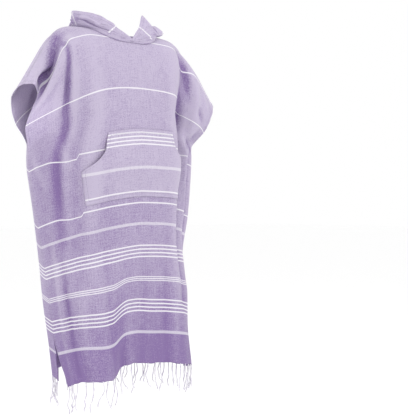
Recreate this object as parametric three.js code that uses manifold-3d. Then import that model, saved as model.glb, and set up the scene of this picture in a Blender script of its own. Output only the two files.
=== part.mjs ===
// Hooded bath poncho of flat-woven striped cotton, worn: front, back, two hood halves, pocket and knotted fringe.
// Millimetres, +Z up, the wearer faces -Y and the wearer's left is +X. The origin is midway between the shoulders.
// A panel's points are given by their place in the flat cut: u across from the centre line (the wearer's right is
// minus) and s down from the shoulder seam.
import * as THREE from "three";
import Module from "manifold-3d";

const wasm = await Module();
wasm.setup();

// The cut and the cloth.
const PANEL_WIDTH = 840;
const PANEL_LENGTH = 1050;
const ARMHOLE_DEPTH = 315;
const SLIT_START = 905;
const CLOTH = 2;
const SEAM_GAP = 0.3;
const NECK_HALF_WIDTH = 140;
const NECK_DROP_FRONT = 95;
const NECK_DROP_BACK = 40;
const NECK_CURVE = 3.5;

// The pocket, sewn on the front.
const POCKET_TOP = 365;
const POCKET_BOTTOM = 560;
const POCKET_STRAIGHT_SIDE = 92;
const POCKET_TOP_HALF_WIDTH = 130;
const POCKET_BOTTOM_HALF_WIDTH = 198;
const POCKET_SCOOP = 1.7;
const POCKET_BULGE = 22;

// The fringe under each hem.
const STRANDS = 20;
const STRAND_LENGTH = 86;
const STRAND_RADIUS = 1.7;
const FRINGE_STRIP = 4;

// Where the shoulders end and the arms begin, across from the centre line.
const RIGHT_SHOULDER = 212;
const LEFT_SHOULDER = 200;

const HALF = PANEL_WIDTH / 2;

// A row for each level down a panel: its centre line, its edge at the wearer's right and at the left, how far
// across the cloth stays level before it falls to the edge, and how long it stays flat before it turns back.
const SECTION_COLUMNS = [
  "s", "y", "z", "rightX", "rightY", "rightZ", "leftX", "leftY", "leftZ",
  "rightKnee", "leftKnee", "rightRound", "leftRound",
];
const FRONT_SECTIONS = [
  [0, 0, 22, -316, 0, -163, 369, 20, -154, 0.48, 0.54, 2.0, 2.0],
  [40, -39, 12, -310, -52, -169, 355, -30, -176, 0.46, 0.5, 2.4, 2.0],
  [90, -76, -18, -289, -33, -192, 329, -65, -196, 0.5, 0.46, 5.0, 2.2],
  [140, -99, -62, -314, -53, -230, 311, -78, -222, 0.38, 0.38, 3.4, 2.2],
  [247, -116, -159, -328, -36, -281, 300, -55, -274, 0.27, 0.28, 3.2, 2.2],
  [315, -122, -227, -298, 5, -335, 293, 0, -318, 0.2, 0.44, 3.0, 2.2],
  [412, -126, -326, -294, 3, -406, 291, 0, -382, 0.06, 0.58, 2.6, 2.2],
  [577, -126, -492, -266, 2, -565, 277, 2, -541, 0.08, 0.45, 2.4, 2.2],
  [720, -122, -634, -242, 2, -696, 253, 6, -676, 0.05, 0.35, 2.2, 2.3],
  [905, -114, -823, -214, 3, -875, 258, 14, -866, 0, 0.22, 2.2, 2.4],
  [1050, -106, -971, -200, -52, -1016, 275, 16, -1020, 0, 0.18, 2.2, 2.6],
];
const BACK_SECTIONS = [
  [0, 0, 22, -316, 0, -163, 369, 20, -154, 0.48, 0.54, 2.0, 2.0],
  [40, 38, 16, -310, 44, -170, 350, 65, -172, 0.46, 0.5, 2.0, 2.0],
  [90, 78, -10, -299, 94, -188, 330, 92, -194, 0.42, 0.46, 2.4, 2.4],
  [140, 102, -52, -292, 110, -210, 318, 104, -220, 0.38, 0.42, 2.8, 2.8],
  [247, 126, -159, -296, 76, -267, 306, 74, -276, 0.28, 0.34, 2.8, 2.8],
  [315, 132, -227, -298, 5, -335, 293, 0, -318, 0.22, 0.28, 2.4, 2.6],
  [412, 134, -326, -294, 3, -406, 291, 0, -382, 0.16, 0.22, 1.7, 2.4],
  [577, 134, -491, -266, 2, -565, 277, 2, -541, 0.1, 0.18, 1.8, 2.4],
  [720, 132, -633, -242, 2, -696, 253, 6, -676, 0.05, 0.15, 2.4, 2.4],
  [905, 128, -818, -214, 3, -875, 258, 14, -866, 0, 0.1, 2.8, 2.4],
  [1050, 120, -974, -190, 16, -1008, 270, 40, -1014, 0, 0.1, 2.8, 2.4],
];

// A row for each fold: where its line starts and ends on the cut, its half width, and how far it stands out of
// the panel at its start, middle and end (a trough is minus).
const FOLD_COLUMNS = ["u0", "s0", "u1", "s1", "half", "start", "middle", "end"];
const FRONT_FOLDS = [
  [-215, 10, -420, 72, 32, -5, -22, -10],
  [-228, 76, -420, 124, 28, 3, 9, 0],
  [-192, 70, -235, 760, 34, -8, -24, -6],
  [-150, 90, -180, 760, 34, 3, 9, 2],
  [244, 90, 268, 850, 42, -30, -78, -14],
  [368, 300, 352, 760, 26, -8, -40, -6],
  [-215, 640, -205, 1110, 92, 0, 26, 60],
  [-98, 800, -94, 1110, 44, 0, -4, -14],
  [95, 620, 90, 1110, 85, 0, -14, -22],
];
const BACK_FOLDS = [
  [172, 90, 150, 860, 32, -12, -36, -8],
  [290, 120, 250, 600, 34, -4, -18, -4],
  [-150, 800, -130, 1110, 50, 0, -14, -26],
];

// Turns a table's rows into objects with its columns' names.
function named(columns, rows) {
  return rows.map((row) => Object.fromEntries(columns.map((name, i) => [name, row[i]])));
}

const FRONT = {
  facing: -1,
  sections: named(SECTION_COLUMNS, FRONT_SECTIONS),
  folds: named(FOLD_COLUMNS, FRONT_FOLDS),
  neckDrop: NECK_DROP_FRONT,
};
const BACK = {
  facing: 1,
  sections: named(SECTION_COLUMNS, BACK_SECTIONS),
  folds: named(FOLD_COLUMNS, BACK_FOLDS),
  neckDrop: NECK_DROP_BACK,
};

function clamp01(v) {
  return Math.min(1, Math.max(0, v));
}

function smooth(v) {
  const c = clamp01(v);
  return c * c * (3 - 2 * c);
}

function mix(a, b, share) {
  return a + (b - a) * share;
}

// A smooth curve through one column of a table. Where a seam begins or ends, the curve takes the seam's own
// slope, so that the two panels share it all along the seam.
function along(rows, column, s) {
  const last = rows.length - 1;
  const step = (i) => (rows[i + 1][column] - rows[i][column]) / (rows[i + 1].s - rows[i].s);
  const onEdge = /^(right|left)[XYZ]$/.test(column);
  const slope = (i) => {
    if (i === 0) return step(0);
    if (i === last) return step(last - 1);
    if (onEdge && rows[i].s === ARMHOLE_DEPTH) return step(i);
    if (onEdge && rows[i].s === SLIT_START) return step(i - 1);
    return step(i - 1) * step(i) > 0 ? (step(i - 1) + step(i)) / 2 : 0;
  };
  if (s <= rows[0].s) return rows[0][column] + (s - rows[0].s) * slope(0);
  if (s >= rows[last].s) return rows[last][column] + (s - rows[last].s) * slope(last);
  let i = 0;
  while (s > rows[i + 1].s) i += 1;
  const h = rows[i + 1].s - rows[i].s;
  const t = (s - rows[i].s) / h;
  return (
    (2 * t ** 3 - 3 * t ** 2 + 1) * rows[i][column] +
    (t ** 3 - 2 * t ** 2 + t) * h * slope(i) +
    (3 * t ** 2 - 2 * t ** 3) * rows[i + 1][column] +
    (t ** 3 - t ** 2) * h * slope(i + 1)
  );
}

// A ramp that is level up to the knee and then straight, with its bend rounded over the length soft.
function ramp(t, knee, soft) {
  return soft * Math.log1p(Math.exp((t - knee) / soft));
}

// The share of a panel's fall that it has reached at the share t of its half width.
function fall(t, knee, soft) {
  const start = ramp(0, knee, soft);
  return (ramp(t, knee, soft) - start) / (ramp(1, knee, soft) - start);
}

// A panel's point without its folds.
function hang(panel, u, s) {
  const side = u < 0 ? "right" : "left";
  const read = (column) => along(panel.sections, column, s);
  const t = Math.abs(u) / HALF;
  const edge = new THREE.Vector3(read(side + "X"), read(side + "Y"), read(side + "Z"));
  const reach = Math.abs(edge.x);
  const shoulder = side === "right" ? RIGHT_SHOULDER : LEFT_SHOULDER;
  const bend = shoulder / HALF;
  const before = HALF / reach;
  const after = (1 - shoulder / reach) / (1 - bend);
  const overArm = t * before + (after - before) * ramp(t, bend, 0.04);
  const lowRound = side === "right" ? 0.65 * smooth((s - 230) / 200)
    : 0.25 * smooth((s - 230) / 200) + 0.4 * smooth((s - 600) / 250);
  const roundBody = mix(t, Math.sin((Math.PI * t) / 2), 0.35 + lowRound);
  const y = read("y");
  const z = read("z");
  return new THREE.Vector3(
    edge.x * mix(overArm, roundBody, smooth(s / 300)),
    y + (edge.y - y) * t ** read(side + "Round"),
    z + (edge.z - z) * fall(t, read(side + "Knee"), 0.06 + 0.08 * clamp01(s / 600)),
  );
}

// The outward normal of a surface given by a function of u and s.
function normalOf(point, u, s, facing) {
  const e = 2;
  const across = point(u + e, s).sub(point(u - e, s));
  const down = point(u, s + e).sub(point(u, s - e));
  const n = across.cross(down).normalize();
  return facing > 0 ? n : n.negate();
}

// How far the folds move a panel's point outward. They fade out at the seams.
function foldHeight(panel, u, s) {
  let height = 0;
  for (const fold of panel.folds) {
    const du = fold.u1 - fold.u0;
    const ds = fold.s1 - fold.s0;
    const length = Math.hypot(du, ds);
    const share = ((u - fold.u0) * du + (s - fold.s0) * ds) / length ** 2;
    const off = ((u - fold.u0) * ds - (s - fold.s0) * du) / length / fold.half;
    const inner = clamp01(share);
    const bell = 0.5 - 0.5 * Math.cos(2 * Math.PI * inner);
    const past = (Math.max(-share, share - 1, 0) * length) / 60;
    const depth = mix(inner < 0.5 ? fold.start : fold.end, fold.middle, bell);
    height += depth * Math.exp(-(off ** 2)) * Math.exp(-3 * past ** 2);
  }
  return height * smooth((HALF - Math.abs(u)) / 40) * clamp01(s / 30);
}

// A panel's point with its folds.
function drape(panel, u, s) {
  const flat = (a, b) => hang(panel, a, b);
  return flat(u, s).addScaledVector(normalOf(flat, u, s, panel.facing), foldHeight(panel, u, s));
}

function panelNormal(panel, u, s) {
  return normalOf((a, b) => drape(panel, a, b), u, s, panel.facing);
}

// A panel's normal, turned towards the one that both panels share at the shoulder and side seams.
function wallNormal(panel, u, s) {
  const own = panelNormal(panel, u, s);
  const atShoulder = 1 - smooth(s / 18);
  const sewn = smooth((s - ARMHOLE_DEPTH + 25) / 25) * (1 - smooth((s - SLIT_START) / 25));
  const atSide = (1 - smooth((HALF - Math.abs(u)) / 18)) * sewn;
  if (atShoulder > atSide) {
    const shared = panelNormal(FRONT, u, 0).add(panelNormal(BACK, u, 0)).normalize();
    return own.lerp(shared, atShoulder).normalize();
  }
  if (atSide > 0) {
    const edge = Math.sign(u) * HALF;
    const shared = panelNormal(FRONT, edge, s).add(panelNormal(BACK, edge, s)).normalize();
    return own.lerp(shared, atSide).normalize();
  }
  return own;
}

// The neck opening's depth below the shoulder seam, across a panel.
function neckEdge(panel, u) {
  const share = Math.abs(u) / NECK_HALF_WIDTH;
  return share < 1 ? panel.neckDrop * (1 - share ** NECK_CURVE) : 0;
}

function steps(from, to, count) {
  return Array.from({ length: count + 1 }, (_, i) => mix(from, to, i / count));
}

// A closed wall about a grid of points: grid[row][column] has a point and its normal. It reaches from the lift
// inner to the lift outer along the normals.
function wall(grid, outer = CLOTH / 2, inner = -CLOTH / 2) {
  const rows = grid.length;
  const columns = grid[0].length;
  const positions = [];
  const faces = [];
  for (const lift of [outer, inner]) {
    for (const row of grid) {
      for (const { point, normal } of row) {
        positions.push(...point.clone().addScaledVector(normal, lift).toArray());
      }
    }
  }
  const at = (layer, i, j) => (layer * rows + i) * columns + j;
  const quad = (a, b, c, d) => faces.push(a, b, c, a, c, d);
  for (let i = 0; i < rows - 1; i += 1) {
    for (let j = 0; j < columns - 1; j += 1) {
      quad(at(0, i, j), at(0, i, j + 1), at(0, i + 1, j + 1), at(0, i + 1, j));
      quad(at(1, i, j), at(1, i + 1, j), at(1, i + 1, j + 1), at(1, i, j + 1));
    }
    quad(at(0, i, 0), at(0, i + 1, 0), at(1, i + 1, 0), at(1, i, 0));
    quad(at(0, i + 1, columns - 1), at(0, i, columns - 1), at(1, i, columns - 1), at(1, i + 1, columns - 1));
  }
  for (let j = 0; j < columns - 1; j += 1) {
    quad(at(0, 0, j + 1), at(0, 0, j), at(1, 0, j), at(1, 0, j + 1));
    quad(at(0, rows - 1, j), at(0, rows - 1, j + 1), at(1, rows - 1, j + 1), at(1, rows - 1, j));
  }
  return { positions, faces };
}

// The wall's mesh with its faces out, whichever way its grid runs.
function outward({ positions, faces }) {
  let volume = 0;
  const corner = (k) => new THREE.Vector3(...positions.slice(faces[k] * 3, faces[k] * 3 + 3));
  for (let k = 0; k < faces.length; k += 3) {
    volume += corner(k).dot(corner(k + 1).cross(corner(k + 2)));
  }
  if (volume < 0) {
    for (let k = 0; k < faces.length; k += 3) [faces[k + 1], faces[k + 2]] = [faces[k + 2], faces[k + 1]];
  }
  return { positions, faces };
}

function geometryOf({ positions, faces }) {
  const geometry = new THREE.BufferGeometry();
  geometry.setAttribute("position", new THREE.Float32BufferAttribute(positions, 3));
  geometry.setIndex(faces);
  return geometry;
}

function solidOf({ positions, faces }) {
  return new wasm.Manifold(
    new wasm.Mesh({ numProp: 3, vertProperties: new Float32Array(positions), triVerts: new Uint32Array(faces) }),
  );
}

function cloth(colour) {
  return new THREE.MeshStandardMaterial({ color: colour, roughness: 0.92, metalness: 0 });
}

function piece(name, geometry, colour) {
  const mesh = new THREE.Mesh(geometry, cloth(colour));
  mesh.name = name;
  return mesh;
}

function fused(name, solid, colour) {
  const mesh = solid.getMesh();
  return piece(name, geometryOf({ positions: [...mesh.vertProperties], faces: [...mesh.triVerts] }), colour);
}

// Where the grid of a panel has its lines: the shoulder seam, the armholes' ends and the slits' starts each
// fall on one.
const SIDE_STEPS = 13;
const NECK_STEPS = 12;
const LEVELS = [
  ...steps(SEAM_GAP / 2, 140, 6),
  ...steps(140, ARMHOLE_DEPTH, 4).slice(1),
  ...steps(ARMHOLE_DEPTH, SLIT_START, 11).slice(1),
  ...steps(SLIT_START, PANEL_LENGTH, 3).slice(1),
];
const ACROSS = [
  ...steps(-HALF + SEAM_GAP / 2, -NECK_HALF_WIDTH, SIDE_STEPS),
  ...steps(-NECK_HALF_WIDTH, NECK_HALF_WIDTH, NECK_STEPS).slice(1),
  ...steps(NECK_HALF_WIDTH, HALF - SEAM_GAP / 2, SIDE_STEPS).slice(1),
];

function panelGrid(panel) {
  return LEVELS.map((level) =>
    ACROSS.map((u) => {
      const s = level + neckEdge(panel, u) * (1 - level / PANEL_LENGTH) ** 4;
      return { u, s, point: drape(panel, u, s), normal: wallNormal(panel, u, s) };
    }),
  );
}

function buildPanel(name, panel, colour) {
  return piece(name, geometryOf(outward(wall(panelGrid(panel)))), colour);
}

// Half the pocket's width at the share v down it: scooped hand openings above, straight sides below.
function pocketHalfWidth(v) {
  const scooped = 1 - POCKET_STRAIGHT_SIDE / (POCKET_BOTTOM - POCKET_TOP);
  if (v >= scooped) return POCKET_BOTTOM_HALF_WIDTH;
  return mix(POCKET_TOP_HALF_WIDTH, POCKET_BOTTOM_HALF_WIDTH, (v / scooped) ** POCKET_SCOOP);
}

// The pocket is a sheet on the panel's own points, so that it lies on it, trimmed to the pocket's outline.
function buildPocket(colour) {
  const height = POCKET_BOTTOM - POCKET_TOP;
  const sheet = panelGrid(FRONT)
    .filter((row) => row[0].s > POCKET_TOP - 60 && row[0].s < POCKET_BOTTOM + 60)
    .map((row) => row.filter(({ u }) => Math.abs(u) < POCKET_BOTTOM_HALF_WIDTH + 30))
    .map((row) => row.map(({ u, s, point, normal }) => {
      const down = clamp01((s - POCKET_TOP) / height);
      const slack = POCKET_BULGE * Math.sin(Math.PI * down) * (1 - clamp01(Math.abs(u) / POCKET_BOTTOM_HALF_WIDTH) ** 4);
      return { point: point.clone().addScaledVector(normal, CLOTH + SEAM_GAP + slack), normal };
    }));
  const outline = steps(0, 1, 9).map((v) =>
    steps(-1, 1, 16).map((w) => {
      const u = w * pocketHalfWidth(v);
      const s = mix(POCKET_TOP, POCKET_BOTTOM, v);
      return { point: drape(FRONT, u, s), normal: panelNormal(FRONT, u, s) };
    }),
  );
  const cutter = solidOf(outward(wall(outline, POCKET_BULGE + 12, -4)));
  return fused("pocket", solidOf(outward(wall(sheet))).intersect(cutter), colour);
}

// The hood lies back. A row for each line of cloth from the neck seam up to the face edge, with its share of the
// way round the neck from the notch to the nape, and three places that it passes through: the crest above the
// seam, the lowest or middle part, and the face edge. X is outward from the centre on each half.
const HOOD_COLUMNS = [
  "share", "crestX", "crestY", "crestZ", "lowX", "lowY", "lowZ", "edgeX", "edgeY", "edgeZ",
];
const RIGHT_HOOD_ROWS = [
  [0, 0, -84, -14, 0, -84, -11, 0, -83, -7],
  [0.16, 56, -78, 4, 53, -73, 17, 50, -66, 30],
  [0.3, 108, -60, 16, 102, -64, 34, 92, -66, 52],
  [0.42, 138, -34, 30, 132, -42, 46, 118, -42, 60],
  [0.56, 156, -4, 34, 160, 0, 50, 152, 8, 64],
  [0.72, 142, 34, 34, 160, 50, 30, 146, 66, 56],
  [0.8, 112, 56, 32, 136, 104, -18, 138, 98, 46],
  [0.88, 74, 64, 30, 96, 144, -98, 100, 134, 30],
  [0.95, 32, 64, 28, 46, 160, -160, 46, 148, 14],
  [1, 0, 64, 28, 0, 164, -176, 0, 152, 8],
];
const LEFT_HOOD_ROWS = [
  [0, 0, -84, -14, 0, -84, -11, 0, -83, -7],
  [0.16, 54, -78, 4, 47, -72, 20, 38, -65, 32],
  [0.3, 103, -62, 16, 86, -60, 44, 66, -46, 72],
  [0.42, 142, -34, 26, 132, -26, 44, 104, -14, 62],
  [0.56, 160, -8, 26, 174, 0, 32, 184, 8, 42],
  [0.72, 146, 36, 32, 162, 52, 28, 160, 62, 50],
  [0.8, 112, 56, 32, 136, 104, -18, 138, 98, 46],
  [0.88, 74, 64, 30, 96, 144, -98, 100, 134, 30],
  [0.95, 32, 64, 28, 46, 160, -160, 46, 148, 14],
  [1, 0, 64, 28, 0, 164, -176, 0, 152, 8],
];

// The neck seam from the notch at the front (0) to the nape (1), on the wearer's right or left.
function neckSeam(share, sign) {
  const frontPart = 0.56;
  const inFront = share <= frontPart;
  const panel = inFront ? FRONT : BACK;
  const turn = inFront ? share / frontPart : (1 - share) / (1 - frontPart);
  const u = sign * NECK_HALF_WIDTH * Math.sin((Math.PI / 2) * turn) ** 0.9;
  const s = Math.max(neckEdge(panel, u), SEAM_GAP);
  return { point: drape(panel, u, s), normal: panelNormal(panel, u, s) };
}

const HOOD_AROUND = 18;
const HOOD_SEAT = 3;
const HOOD_UP = 14;

function buildHoodHalf(name, rows, sign, colour) {
  const table = named(HOOD_COLUMNS, rows).map((row) => ({ ...row, s: row.share }));
  const point = (share, v) => {
    const seam = neckSeam(share, sign).point;
    const place = (stop) => new THREE.Vector3(
      sign * along(table, `${stop}X`, share), along(table, `${stop}Y`, share), along(table, `${stop}Z`, share));
    const base = seam.clone().setZ(seam.z + HOOD_SEAT);
    const crest = place("crest");
    const low = place("low");
    const away = new THREE.Vector3(crest.x - base.x, crest.y - base.y, 0);
    const roll = base.clone().lerp(crest, 0.5).addScaledVector(away, 0.3);
    const drop = Math.max(crest.z - low.z, 0);
    const down = crest.clone().lerp(low, 0.5).add(new THREE.Vector3(0, drop * 0.1, drop * 0.05));
    return new THREE.CatmullRomCurve3([base, roll, crest, down, low, place("edge")], false, "centripetal").getPoint(v);
  };
  const grid = steps(0, 1, HOOD_UP).map((v) =>
    steps(0.015, 1, HOOD_AROUND).map((share) => {
      const p = point(share, v);
      if (share === 1) p.x = (sign * SEAM_GAP) / 2;
      const e = 0.004;
      const lo = Math.max(v - e, 0);
      const hi = Math.min(v + e, 1);
      const up = point(share, hi).sub(point(share, lo));
      const round = point(Math.min(share + e, 1), v).sub(point(share - e, v));
      const normal = up.cross(round).normalize();
      if (share === 1) normal.setX(0).normalize();
      return { point: p, normal };
    }),
  );
  return piece(name, geometryOf(outward(wall(grid))), colour);
}

// A strand's centre line: it hangs from the hem with a slow wave of its own.
function strandLine(panel, k) {
  const u = mix(-HALF + 14, HALF - 14, k / (STRANDS - 1));
  const root = drape(panel, u, PANEL_LENGTH + SEAM_GAP + FRINGE_STRIP / 2);
  const wave = 3 + 4 * Math.abs(Math.sin(k * 2.4 + panel.facing));
  const phase = k * 1.7 + panel.facing;
  return steps(0, 1, 5).map((v) => {
    const fallen = v * STRAND_LENGTH * (0.92 + 0.08 * Math.sin(k * 3.1));
    return new THREE.Vector3(
      root.x + wave * v * Math.sin(phase + 5 * v),
      root.y + wave * v * Math.cos(phase + 4 * v),
      root.z - fallen,
    );
  });
}

// A closed three-sided rod along a line of points.
function rod(line, radius) {
  const sides = 3;
  const positions = [];
  const faces = [];
  for (const p of line) {
    for (let i = 0; i < sides; i += 1) {
      const angle = (2 * Math.PI * i) / sides;
      positions.push(p.x + radius * Math.cos(angle), p.y + radius * Math.sin(angle), p.z);
    }
  }
  for (let k = 0; k < line.length - 1; k += 1) {
    for (let i = 0; i < sides; i += 1) {
      const a = k * sides + i;
      const b = k * sides + ((i + 1) % sides);
      faces.push(a, b, b + sides, a, b + sides, a + sides);
    }
  }
  const end = (line.length - 1) * sides;
  faces.push(0, 2, 1, end, end + 1, end + 2);
  return outward({ positions, faces });
}

function buildFringe(name, panel, colour) {
  const top = PANEL_LENGTH + SEAM_GAP;
  const grid = [top, top + FRINGE_STRIP].map((s) =>
    ACROSS.map((u) => ({ point: drape(panel, u, s), normal: panelNormal(panel, u, s) })),
  );
  let fringe = solidOf(outward(wall(grid)));
  for (let k = 0; k < STRANDS; k += 1) fringe = fringe.add(solidOf(rod(strandLine(panel, k), STRAND_RADIUS)));
  return fused(name, fringe, colour);
}

const poncho = new THREE.Group();
poncho.add(buildPanel("front_panel", FRONT, 0xb3a2c8));
poncho.add(buildPanel("back_panel", BACK, 0xad9bc4));
poncho.add(buildPocket(0xc0b2d2));
poncho.add(buildHoodHalf("hood_right", RIGHT_HOOD_ROWS, -1, 0xb9abcf));
poncho.add(buildHoodHalf("hood_left", LEFT_HOOD_ROWS, 1, 0xb9abcf));
poncho.add(buildFringe("front_fringe", FRONT, 0xf1eef4));
poncho.add(buildFringe("back_fringe", BACK, 0xf1eef4));

export default poncho;
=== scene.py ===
"""Looks of a hooded bath poncho of striped flat-woven cotton, worn with its hood down.

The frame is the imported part's: metres, +Z up, the wearer faces -Y and the wearer's left is +X. Cloth is
worked out in millimetres of the flat cut: u across from the centre line (the wearer's right is minus) and s
down from the shoulder seam.
"""

import logging
import math
from dataclasses import dataclass, field
from enum import Enum

import bmesh
import bpy
import numpy as np
from mathutils import Matrix, Vector


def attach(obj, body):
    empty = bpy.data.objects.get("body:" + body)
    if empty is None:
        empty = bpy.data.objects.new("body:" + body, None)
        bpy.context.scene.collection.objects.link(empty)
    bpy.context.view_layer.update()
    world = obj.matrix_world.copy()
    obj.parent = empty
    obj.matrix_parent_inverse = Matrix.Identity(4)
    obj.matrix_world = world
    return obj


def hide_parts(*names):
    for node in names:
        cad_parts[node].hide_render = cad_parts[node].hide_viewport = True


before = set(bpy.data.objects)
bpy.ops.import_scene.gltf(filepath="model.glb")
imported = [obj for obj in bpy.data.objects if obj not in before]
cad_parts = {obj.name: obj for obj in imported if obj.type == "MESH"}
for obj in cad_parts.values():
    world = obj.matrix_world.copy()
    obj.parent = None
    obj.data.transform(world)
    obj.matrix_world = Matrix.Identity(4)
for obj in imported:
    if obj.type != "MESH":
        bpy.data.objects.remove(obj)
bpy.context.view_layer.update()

LOG = logging.getLogger("poncho")

MM = 0.001
PANEL_WIDTH = 840.0
PANEL_LENGTH = 1050.0
HALF = PANEL_WIDTH / 2
ARMHOLE_DEPTH = 315.0
SLIT_START = 905.0
NECK_HALF_WIDTH = 140.0
NECK_CURVE = 3.5
NECK_FRONT_SHARE = 0.56
RIGHT_SHOULDER = 212.0
LEFT_SHOULDER = 200.0


class Side(Enum):
    """The panel's side of the wearer, as the sign of Y that it faces."""

    FRONT = -1
    BACK = 1


class Stripes(Enum):
    """Which set of white weft stripes a piece of cloth has."""

    PANEL = "panel"
    POCKET = "pocket"
    HOOD = "hood"


def smooth(v):
    """Smooth step of a number or array.

    Args:
        v: the share, clipped to 0 to 1.

    Returns:
        The smoothed share.
    """
    c = np.clip(v, 0.0, 1.0)
    return c * c * (3 - 2 * c)


def mix(a, b, share):
    """Blend of two values.

    Args:
        a: the value at share 0.
        b: the value at share 1.
        share: how far from a to b.

    Returns:
        The blended value.
    """
    return a + (b - a) * share


def unit(v: np.ndarray) -> np.ndarray:
    """Vectors at length 1.

    Args:
        v: vectors along the last axis.

    Returns:
        The same directions at length 1.
    """
    return v / np.maximum(np.linalg.norm(v, axis=-1, keepdims=True), 1e-9)


def hermite(t, h, start, end, slope_start, slope_end):
    """Cubic curve between two values with given slopes.

    Args:
        t: how far along, from 0 to 1.
        h: the distance between the two.
        start: the first value.
        end: the second value.
        slope_start: the slope at the first.
        slope_end: the slope at the second.

    Returns:
        The value at t.
    """
    return (
        (2 * t**3 - 3 * t**2 + 1) * start
        + (t**3 - 2 * t**2 + t) * h * slope_start
        + (3 * t**2 - 2 * t**3) * end
        + (t**3 - t**2) * h * slope_end
    )


def stop_slopes(xs: np.ndarray, ys: np.ndarray) -> tuple[np.ndarray, np.ndarray]:
    """Slopes for a curve through stops that doesn't overshoot them.

    Args:
        xs: the stops' places.
        ys: a value or a row of values for each stop.

    Returns:
        The slope at each stop and that of each stretch between them.
    """
    step = (np.diff(ys, axis=0).T / np.diff(xs)).T
    middle = np.where(step[:-1] * step[1:] > 0, (step[:-1] + step[1:]) / 2, 0.0)
    return np.concatenate([step[:1], middle, step[-1:]]), step


@dataclass(frozen=True)
class Level:
    """One level down a panel, in millimetres.

    The centre line's y and z, each edge's x, y and z, the share of the half width at which the cloth starts
    to fall to the edge (knee) and how long it stays flat before it turns back (bow).
    """

    s: float
    y: float
    z: float
    right: tuple[float, float, float]
    left: tuple[float, float, float]
    knee: tuple[float, float]
    bow: tuple[float, float]


@dataclass(frozen=True)
class Fold:
    """A soft fold along a line of the cut, in millimetres.

    It runs from (u0, s0) to (u1, s1), is about twice half wide, and stands out by start, middle and end along
    the line. A trough is minus.
    """

    u0: float
    s0: float
    u1: float
    s1: float
    half: float
    start: float
    middle: float
    end: float

    def height(self, u: np.ndarray, s: np.ndarray) -> np.ndarray:
        """How far the fold lifts the cloth.

        Args:
            u: places across the cut.
            s: places down the cut.

        Returns:
            The lift at each place.
        """
        du, ds = self.u1 - self.u0, self.s1 - self.s0
        length = math.hypot(du, ds)
        share = ((u - self.u0) * du + (s - self.s0) * ds) / length**2
        off = ((u - self.u0) * ds - (s - self.s0) * du) / length / self.half
        inner = np.clip(share, 0, 1)
        bell = 0.5 - 0.5 * np.cos(2 * np.pi * inner)
        past = np.maximum(np.maximum(-share, share - 1), 0) * length / 60
        depth = mix(np.where(inner < 0.5, self.start, self.end), self.middle, bell)
        return depth * np.exp(-(off**2)) * np.exp(-3 * past**2)


@dataclass(frozen=True)
class Tuck:
    """A line of the cut where the cloth on the edge's side hangs lower, as at a fold that laps over itself.

    A minus drop brings it higher, and a minus width means the cloth on the other side. The drop is over at
    the distance reach from the line.
    """

    u0: float
    s0: float
    u1: float
    s1: float
    width: float
    drop: float
    reach: float = 120

    def fall(self, u: np.ndarray, s: np.ndarray) -> np.ndarray:
        """How far the cloth hangs lower.

        Args:
            u: places across the cut.
            s: places down the cut.

        Returns:
            The drop at each place, in millimetres.
        """
        share = (s - self.s0) / (self.s1 - self.s0)
        line = mix(self.u0, self.u1, share)
        side = smooth(0.5 + (line - u) / self.width * math.copysign(1, -self.u0))
        fade = smooth(share / 0.25) * smooth((1 - share) / 0.25)
        away = 1 - smooth((np.abs(u - line) - 30) / (self.reach - 30))
        return self.drop * side * fade * away


FRONT_LEVELS = (
    Level(0, 0, 22, (-316, 0, -163), (369, 20, -154), (0.48, 0.54), (2.0, 2.0)),
    Level(40, -39, 12, (-310, -52, -169), (355, -30, -176), (0.46, 0.5), (2.4, 2.0)),
    Level(90, -76, -18, (-289, -33, -192), (329, -65, -196), (0.5, 0.46), (5.0, 2.2)),
    Level(140, -99, -62, (-314, -53, -230), (311, -78, -222), (0.38, 0.38), (3.4, 2.2)),
    Level(247, -116, -159, (-328, -36, -281), (300, -55, -270), (0.27, 0.42), (3.2, 2.2)),
    Level(315, -122, -227, (-298, 5, -335), (293, 0, -318), (0.2, 0.44), (3.0, 2.2)),
    Level(412, -126, -326, (-294, 3, -406), (291, 0, -382), (0.06, 0.58), (2.6, 2.2)),
    Level(577, -126, -492, (-266, 2, -565), (277, 2, -541), (0.08, 0.45), (2.4, 2.2)),
    Level(720, -122, -634, (-242, 2, -696), (253, 6, -676), (0.05, 0.35), (2.2, 2.3)),
    Level(905, -114, -823, (-214, 3, -875), (258, 14, -866), (0.0, 0.22), (2.2, 2.4)),
    Level(1050, -106, -971, (-200, -52, -1016), (275, 16, -1020), (0.0, 0.18), (2.2, 2.6)),
)
BACK_LEVELS = (
    Level(0, 0, 22, (-316, 0, -163), (369, 20, -154), (0.48, 0.54), (2.0, 2.0)),
    Level(40, 38, 16, (-310, 44, -170), (350, 65, -172), (0.46, 0.5), (2.0, 2.0)),
    Level(90, 78, -10, (-299, 94, -188), (330, 92, -194), (0.42, 0.46), (2.4, 2.4)),
    Level(140, 102, -52, (-292, 110, -210), (318, 104, -220), (0.38, 0.42), (2.8, 2.8)),
    Level(247, 126, -159, (-296, 76, -267), (306, 74, -276), (0.38, 0.34), (2.8, 2.8)),
    Level(315, 132, -227, (-298, 5, -335), (293, 0, -318), (0.22, 0.28), (2.4, 2.6)),
    Level(412, 134, -326, (-294, 3, -406), (291, 0, -382), (0.16, 0.22), (1.7, 2.4)),
    Level(577, 134, -491, (-266, 2, -565), (277, 2, -541), (0.1, 0.18), (1.8, 2.4)),
    Level(720, 132, -633, (-242, 2, -696), (253, 6, -676), (0.05, 0.15), (2.4, 2.4)),
    Level(905, 128, -818, (-214, 3, -875), (258, 14, -866), (0.0, 0.1), (2.8, 2.4)),
    Level(1050, 120, -974, (-190, 16, -1008), (270, 40, -1014), (0.0, 0.1), (2.8, 2.4)),
)
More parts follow.
